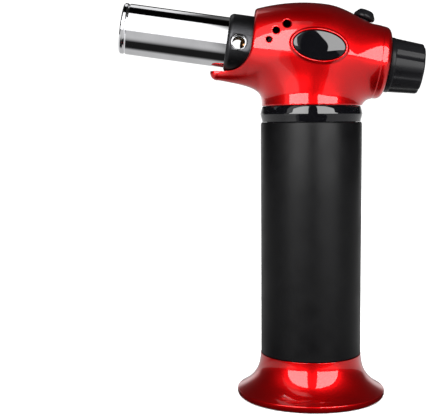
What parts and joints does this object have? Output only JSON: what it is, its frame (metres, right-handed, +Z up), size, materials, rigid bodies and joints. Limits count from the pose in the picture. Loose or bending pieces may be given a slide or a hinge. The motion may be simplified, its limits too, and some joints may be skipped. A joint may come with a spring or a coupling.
{
  "type": "table-top butane torch",
  "caption": "Hand-held butane torch with a flared foot, a round grip that holds the gas tank, a rear gas knob, a piezo button and a chrome flame tube.",
  "frame": {"origin": "the middle of the foot's underside, on the grip's axis", "axes": "+Z up the grip, -X towards the nozzle's mouth, +X towards the gas knob, -Y towards the badge side"},
  "size_m": [0.1325, 0.065, 0.173],
  "materials": {
    "red_lacquer": "metallic red lacquer under a glossy clear coat",
    "black_plastic": "fine moulded texture",
    "gloss_black": "polished",
    "knob_plastic": "semi-gloss",
    "seal_rubber": "matte",
    "hose_rubber": "matte",
    "grip_rubber": "soft-touch matte",
    "collar_black": "black heat-proof coat",
    "chrome": "polished",
    "brass": "turned",
    "jet_brass": "heat-tinted",
    "burner_steel": "heat-tinted",
    "steel": "bright",
    "tank_nylon": "natural nylon",
    "ceramic": "unglazed",
    "wire_insulation": "smooth"
  },
  "bodies": {
    "torch": {"base": "red_lacquer", "head_shell_near": "red_lacquer", "head_shell_far": "red_lacquer", "base_plate": "black_plastic", "tank_cap": "black_plastic", "neck_ring": "gloss_black", "badge": "gloss_black", "piezo_igniter": "black_plastic", "foot_ring": "seal_rubber", "fill_valve_washer": "seal_rubber", "tank_seal": "seal_rubber", "needle_seal": "seal_rubber", "gas_hose": "hose_rubber", "grip_sleeve": "grip_rubber", "nozzle_collar": "collar_black", "flame_tube": "chrome", "fill_valve_body": "brass", "jet_holder": "brass", "gas_jet": "jet_brass", "jet_pipe": "brass", "mixer_tube": "brass", "valve_body": "brass", "gland_nut": "brass", "flame_holder": "burner_steel", "electrode": "steel", "base_screws": "steel", "plate_screws": "steel", "head_screws": "steel", "fill_valve_spring": "steel", "piezo_spring": "steel", "gas_tank": "tank_nylon", "wick_tube": "tank_nylon", "electrode_insulator": "ceramic", "ignition_wire": "wire_insulation"},
    "knob": {"gas_knob": "knob_plastic"},
    "needle": {"valve_needle": "steel"},
    "button": {"ignition_button": "knob_plastic"},
    "striker": {"piezo_plunger": "steel"},
    "fill_stem": {"fill_valve_stem": "brass", "fill_valve_seal": "seal_rubber"}
  },
  "joints": [
    {"name": "gas_knob_turn", "type": "hinge", "parent": "torch", "child": "knob", "pos_m": [0.03257, 0, 0.14596], "axis": [0.99, 0, -0.1409], "range_deg": [0, 300]},
    {"name": "needle_feed", "type": "slide", "parent": "knob", "child": "needle", "axis": [0.99, 0, -0.1409], "range_m": [0, 0.00042]},
    {"name": "ignition_press", "type": "slide", "parent": "torch", "child": "button", "axis": [-0.3746, 0, -0.9272], "range_m": [0, 0.003], "stiffness_N_per_m": 3000, "springref_m": -0.001},
    {"name": "piezo_strike", "type": "slide", "parent": "torch", "child": "striker", "axis": [-0.3746, 0, -0.9272], "range_m": [0, 0.003], "stiffness_N_per_m": 500, "springref_m": -0.001, "deforming": ["piezo_spring"]},
    {"name": "fill_valve_press", "type": "slide", "parent": "torch", "child": "fill_stem", "axis": [0, 0, 1], "range_m": [0, 0.0015], "stiffness_N_per_m": 2000, "springref_m": -0.001, "deforming": ["fill_valve_spring"]}
  ],
  "couplings": [
    {"joint": "needle_feed", "follows": "gas_knob_turn", "m_per_rad": 0.0000796},
    {"joint": "piezo_strike", "follows": "ignition_press", "ratio": 1}
  ]
}
